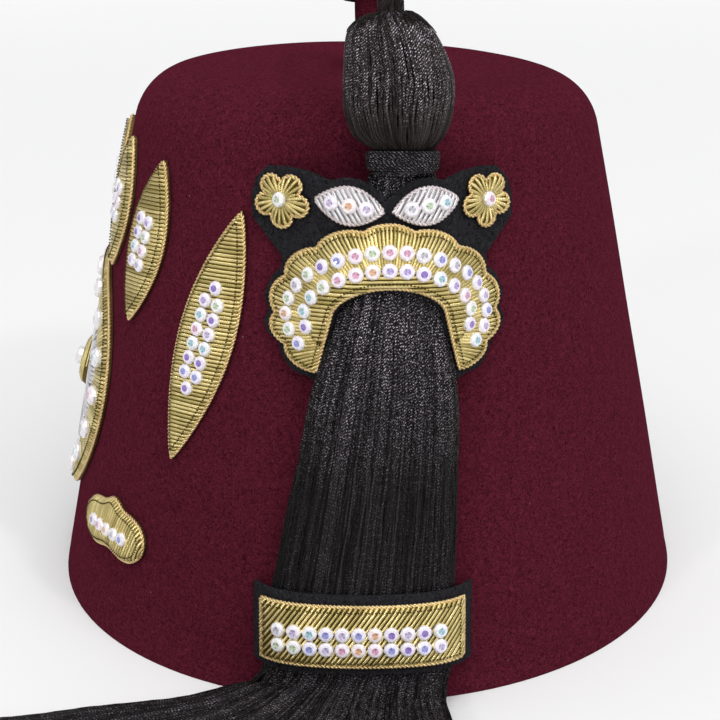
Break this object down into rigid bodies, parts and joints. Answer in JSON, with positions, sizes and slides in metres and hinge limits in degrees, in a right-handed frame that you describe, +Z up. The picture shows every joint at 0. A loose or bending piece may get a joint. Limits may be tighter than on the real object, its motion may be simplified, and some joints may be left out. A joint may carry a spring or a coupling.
{
  "type": "fez hat",
  "caption": "Tapered felt hat with a flat top, a stem, a long silk tassel held to one side, and stone-set raised ornaments on the front and side.",
  "frame": {"origin": "centre of the head opening, on the plane that the rim rests on", "axes": "+Z up through the opening to the top of the crown, -Y toward the front of the hat, +X toward the wearer's left side, where the tassel hangs"},
  "size_m": [0.3128, 0.2373, 0.1831],
  "materials": {
    "felt": "napped wool felt",
    "silk": "twisted silk cord",
    "backing": "black felt",
    "gold": "bright bullion wire",
    "silver": "bright bullion wire",
    "stone": "cut, iridescent coating"
  },
  "bodies": {
    "root": {"crown": "felt", "stem": "felt", "tassel_cord": "silk", "tassel": "silk", "tassel_collar": "silk", "holder_backing": "backing", "holder_rosette": "gold", "silver_leaf_front": "silver", "silver_leaf_back": "silver", "flower_front": "gold", "flower_back": "gold", "bar_backing": "backing", "bar": "gold", "leaf_front": "gold", "leaf_left_1": "gold", "leaf_left_2": "gold", "leaf_left_3": "gold", "leaf_right_1": "gold", "leaf_right_2": "gold", "leaf_right_3": "gold", "medallion_ring": "gold", "medallion_petals": "silver", "medallion_boss": "gold", "medallion_stone": "stone", "sprig_left": "gold", "sprig_right": "gold"}
  },
  "joints": []
}
